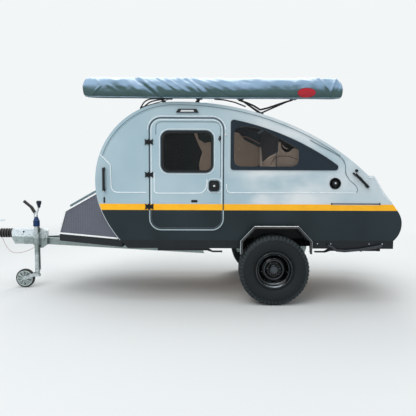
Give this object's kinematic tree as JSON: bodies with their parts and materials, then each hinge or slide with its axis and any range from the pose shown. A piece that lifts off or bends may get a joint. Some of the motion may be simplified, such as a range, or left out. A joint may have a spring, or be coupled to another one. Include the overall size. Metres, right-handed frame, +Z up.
{
  "type": "teardrop trailer",
  "caption": "Small teardrop camping trailer with side doors, long side windows, tailgate galley, front storage box, packed side awning and a jockey wheel.",
  "frame": {"origin": "on the ground below the middle of the overall length and width", "axes": "+Z up, -X towards the coupling, +X towards the tail, -Y towards the side with the awning"},
  "size_m": [5.0038, 1.94, 2.45],
  "materials": {
    "body_paint": "gloss laminate in pale silver-blue, with an amber waist stripe and a charcoal lower band",
    "body_panel": "gloss laminate in pale silver-blue",
    "door_paint": "gloss laminate in pale silver-blue with the stripe carried across",
    "black_steel": "black powder coat",
    "zinc": "hot-dip galvanised",
    "black_plastic": "satin black moulding",
    "rubber": "ribbed black rubber",
    "tyre": "all-terrain rubber",
    "wheel_black": "gloss black steel",
    "glass": "clear acrylic",
    "box_panel": "fine-textured grey sheet with bright edge trim",
    "box_lid": "bright folded sheet",
    "tray": "black folded sheet",
    "ply": "birch ply, varnished",
    "bed_fabric": "upholstery fabric",
    "awning_fabric": "coated awning cover, pale blue-grey",
    "lamp": "red lens",
    "white_plastic": "white moulding",
    "jockey_blue": "zinc tube with a blue collar",
    "cable_red": "plastic-coated wire"
  },
  "bodies": {
    "trailer": {"side_wall_left": "body_paint", "side_wall_right": "body_paint", "roof_shell": "body_panel", "tail_panel": "body_panel", "floor": "ply", "wheel_boxes": "black_plastic", "flares": "black_steel", "bulkhead": "ply", "cabin_lockers": "ply", "bed_base": "ply", "mattress": "bed_fabric", "worktop": "ply", "galley_cupboard": "ply", "window_frames": "black_plastic", "side_panes": "glass", "wall_fittings": "black_plastic", "grab_handles": "black_plastic", "side_sills": "black_steel", "chassis_rail_left": "zinc", "chassis_rail_right": "zinc", "cross_members": "zinc", "leaf_springs": "black_steel", "axle_beam": "zinc", "drawbar_left": "zinc", "drawbar_right": "zinc", "coupling_housing": "zinc", "bellows": "rubber", "coupling_head": "zinc", "handbrake_lever": "black_plastic", "jockey_clamp": "zinc", "jockey_outer_tube": "jockey_blue", "box_tray": "tray", "box_walls": "box_panel", "awning_bag": "awning_fabric", "awning_brackets": "black_steel", "roof_vent": "white_plastic", "tail_lamps": "lamp", "breakaway_cable": "cable_red"},
    "tailgate_panel": {"tailgate": "body_panel"},
    "lid": {"box_lid": "box_lid"},
    "door_on_left": {"door_left": "door_paint", "door_fittings_left": "black_plastic", "door_pane_left": "glass"},
    "door_on_right": {"door_right": "door_paint", "door_fittings_right": "black_plastic", "door_pane_right": "glass"},
    "steady_fl": {"steady_front_left": "zinc"},
    "steady_fr": {"steady_front_right": "zinc"},
    "steady_rl": {"steady_rear_left": "zinc"},
    "steady_rr": {"steady_rear_right": "zinc"},
    "wheel_on_left": {"road_wheel_left": "wheel_black", "tyre_left": "tyre"},
    "wheel_on_right": {"road_wheel_right": "wheel_black", "tyre_right": "tyre"},
    "jockey_leg": {"jockey_inner_tube": "zinc"},
    "jockey_caster": {"jockey_fork": "zinc"},
    "jockey_roller": {"jockey_hub": "zinc", "jockey_tyre": "tyre"}
  },
  "joints": [
    {"name": "wheel_left_spin", "type": "hinge", "parent": "trailer", "child": "wheel_on_left", "pos_m": [1.085, -0.838, 0.385], "axis": [0, 1, 0], "continuous": true},
    {"name": "wheel_right_spin", "type": "hinge", "parent": "trailer", "child": "wheel_on_right", "pos_m": [1.085, 0.838, 0.385], "axis": [0, 1, 0], "continuous": true},
    {"name": "tailgate_hinge", "type": "hinge", "parent": "trailer", "child": "tailgate_panel", "pos_m": [1.4435, 0, 1.89022], "axis": [0, -1, 0], "range_deg": [0, 62]},
    {"name": "door_left_hinge", "type": "hinge", "parent": "trailer", "child": "door_on_left", "pos_m": [-0.2835, -0.872, 1.422], "axis": [0, 0, -1], "range_deg": [0, 110]},
    {"name": "door_right_hinge", "type": "hinge", "parent": "trailer", "child": "door_on_right", "pos_m": [-0.2835, 0.872, 1.422], "axis": [0, 0, 1], "range_deg": [0, 110]},
    {"name": "box_lid_hinge", "type": "hinge", "parent": "trailer", "child": "lid", "pos_m": [-0.92052, 0, 1.21952], "axis": [0, 1, 0], "range_deg": [0, 75]},
    {"name": "steady_front_left_fold", "type": "hinge", "parent": "trailer", "child": "steady_fl", "pos_m": [-0.18, -0.778, 0.6], "axis": [0, 1, 0], "range_deg": [0, 52]},
    {"name": "steady_front_right_fold", "type": "hinge", "parent": "trailer", "child": "steady_fr", "pos_m": [-0.18, 0.778, 0.6], "axis": [0, 1, 0], "range_deg": [0, 52]},
    {"name": "steady_rear_left_fold", "type": "hinge", "parent": "trailer", "child": "steady_rl", "pos_m": [2.253, -0.778, 0.6], "axis": [0, -1, 0], "range_deg": [0, 52]},
    {"name": "steady_rear_right_fold", "type": "hinge", "parent": "trailer", "child": "steady_rr", "pos_m": [2.253, 0.778, 0.6], "axis": [0, -1, 0], "range_deg": [0, 52]},
    {"name": "jockey_wind", "type": "slide", "parent": "trailer", "child": "jockey_leg", "axis": [0, 0, -1], "range_m": [0, 0.22]},
    {"name": "jockey_swivel", "type": "hinge", "parent": "jockey_leg", "child": "jockey_caster", "pos_m": [-1.776, -0.16, 0.172], "axis": [0, 0, 1], "continuous": true},
    {"name": "jockey_spin", "type": "hinge", "parent": "jockey_caster", "child": "jockey_roller", "pos_m": [-1.93, -0.16, 0.116], "axis": [0, 1, 0], "continuous": true}
  ]
}
